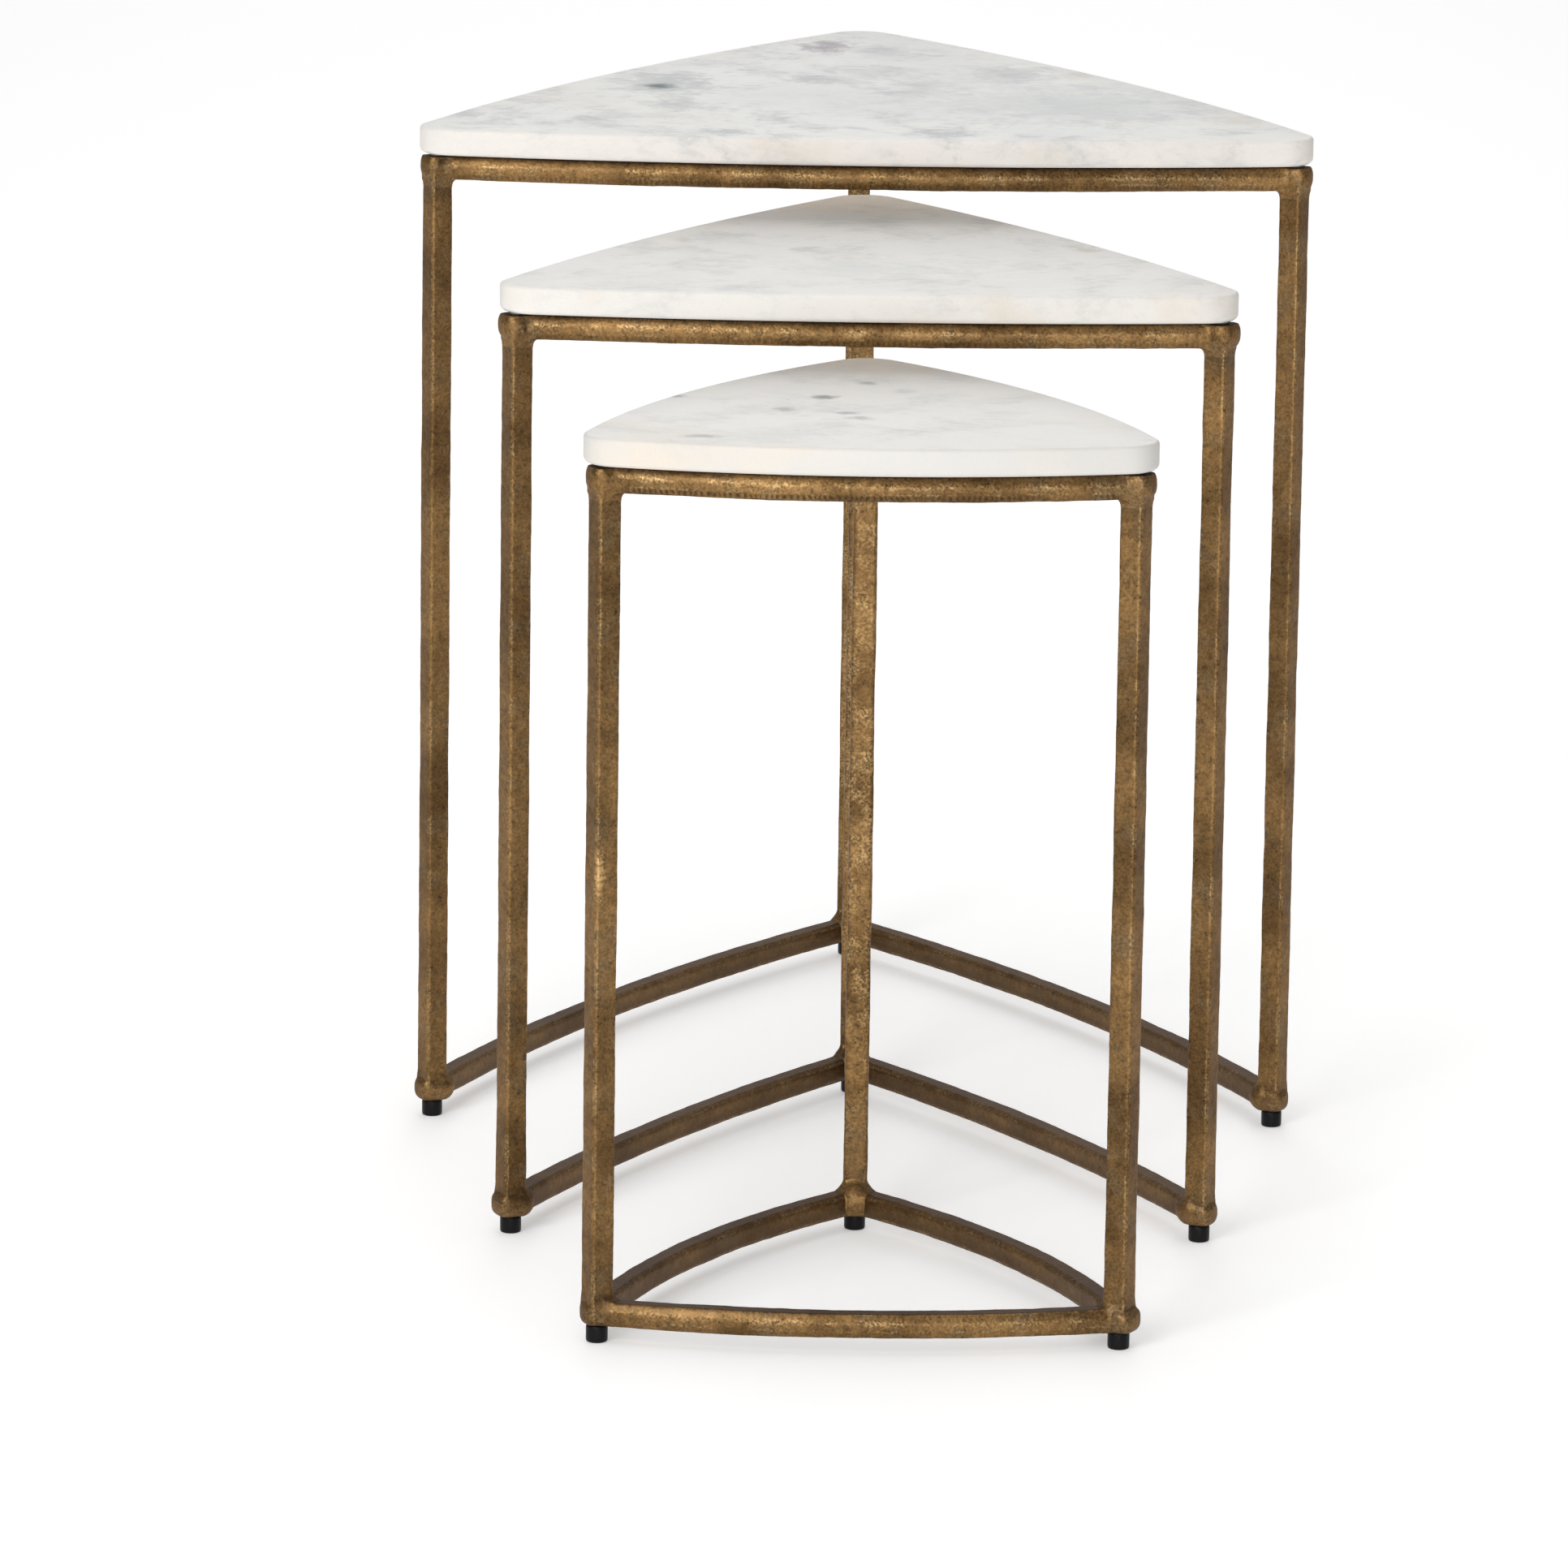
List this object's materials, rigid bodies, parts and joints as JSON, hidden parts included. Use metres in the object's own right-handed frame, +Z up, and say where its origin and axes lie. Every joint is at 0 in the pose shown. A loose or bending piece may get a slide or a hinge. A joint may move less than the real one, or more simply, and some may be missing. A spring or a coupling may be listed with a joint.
{
  "type": "nesting tables",
  "caption": "Set of nesting side tables: rounded-triangle stone tops on welded square-bar brass frames that slide in under one another.",
  "frame": {"origin": "on the floor, under the middle of the set as it stands staggered", "axes": "+Z up; the tables pull out towards -Y; X = 0 is the plane of symmetry of all three tables"},
  "size_m": [0.536, 1.0007, 0.61],
  "materials": {
    "marble": "honed",
    "antique_brass": "aged, dark",
    "black_nylon": "satin",
    "clear_pad": "soft, translucent",
    "zinc_steel": "plain"
  },
  "bodies": {
    "large_table": {"large_marble_top": "marble", "large_top_pads": "clear_pad", "large_top_rail_front": "antique_brass", "large_top_rail_left": "antique_brass", "large_top_rail_right": "antique_brass", "large_base_rail_left": "antique_brass", "large_base_rail_right": "antique_brass", "large_leg_left": "antique_brass", "large_top_knuckle_left": "antique_brass", "large_foot_knuckle_left": "antique_brass", "large_leg_right": "antique_brass", "large_top_knuckle_right": "antique_brass", "large_foot_knuckle_right": "antique_brass", "large_leg_back": "antique_brass", "large_top_knuckle_back": "antique_brass", "large_foot_knuckle_back": "antique_brass", "large_glides": "black_nylon", "large_glide_studs": "zinc_steel"},
    "medium_table": {"medium_marble_top": "marble", "medium_top_pads": "clear_pad", "medium_top_rail_front": "antique_brass", "medium_top_rail_left": "antique_brass", "medium_top_rail_right": "antique_brass", "medium_base_rail_left": "antique_brass", "medium_base_rail_right": "antique_brass", "medium_leg_left": "antique_brass", "medium_top_knuckle_left": "antique_brass", "medium_foot_knuckle_left": "antique_brass", "medium_leg_right": "antique_brass", "medium_top_knuckle_right": "antique_brass", "medium_foot_knuckle_right": "antique_brass", "medium_leg_back": "antique_brass", "medium_top_knuckle_back": "antique_brass", "medium_foot_knuckle_back": "antique_brass", "medium_glides": "black_nylon", "medium_glide_studs": "zinc_steel"},
    "small_table": {"small_marble_top": "marble", "small_top_pads": "clear_pad", "small_top_rail_front": "antique_brass", "small_top_rail_left": "antique_brass", "small_top_rail_right": "antique_brass", "small_base_rail_front": "antique_brass", "small_base_rail_left": "antique_brass", "small_base_rail_right": "antique_brass", "small_leg_left": "antique_brass", "small_top_knuckle_left": "antique_brass", "small_foot_knuckle_left": "antique_brass", "small_leg_right": "antique_brass", "small_top_knuckle_right": "antique_brass", "small_foot_knuckle_right": "antique_brass", "small_leg_back": "antique_brass", "small_top_knuckle_back": "antique_brass", "small_foot_knuckle_back": "antique_brass", "small_glides": "black_nylon", "small_glide_studs": "zinc_steel"}
  },
  "joints": [
    {"name": "medium_table_slide", "type": "slide", "parent": "large_table", "child": "medium_table", "axis": [0, 1, 0], "range_m": [-0.14, 0.308]},
    {"name": "small_table_slide", "type": "slide", "parent": "medium_table", "child": "small_table", "axis": [0, 1, 0], "range_m": [-0.09, 0.267]}
  ]
}
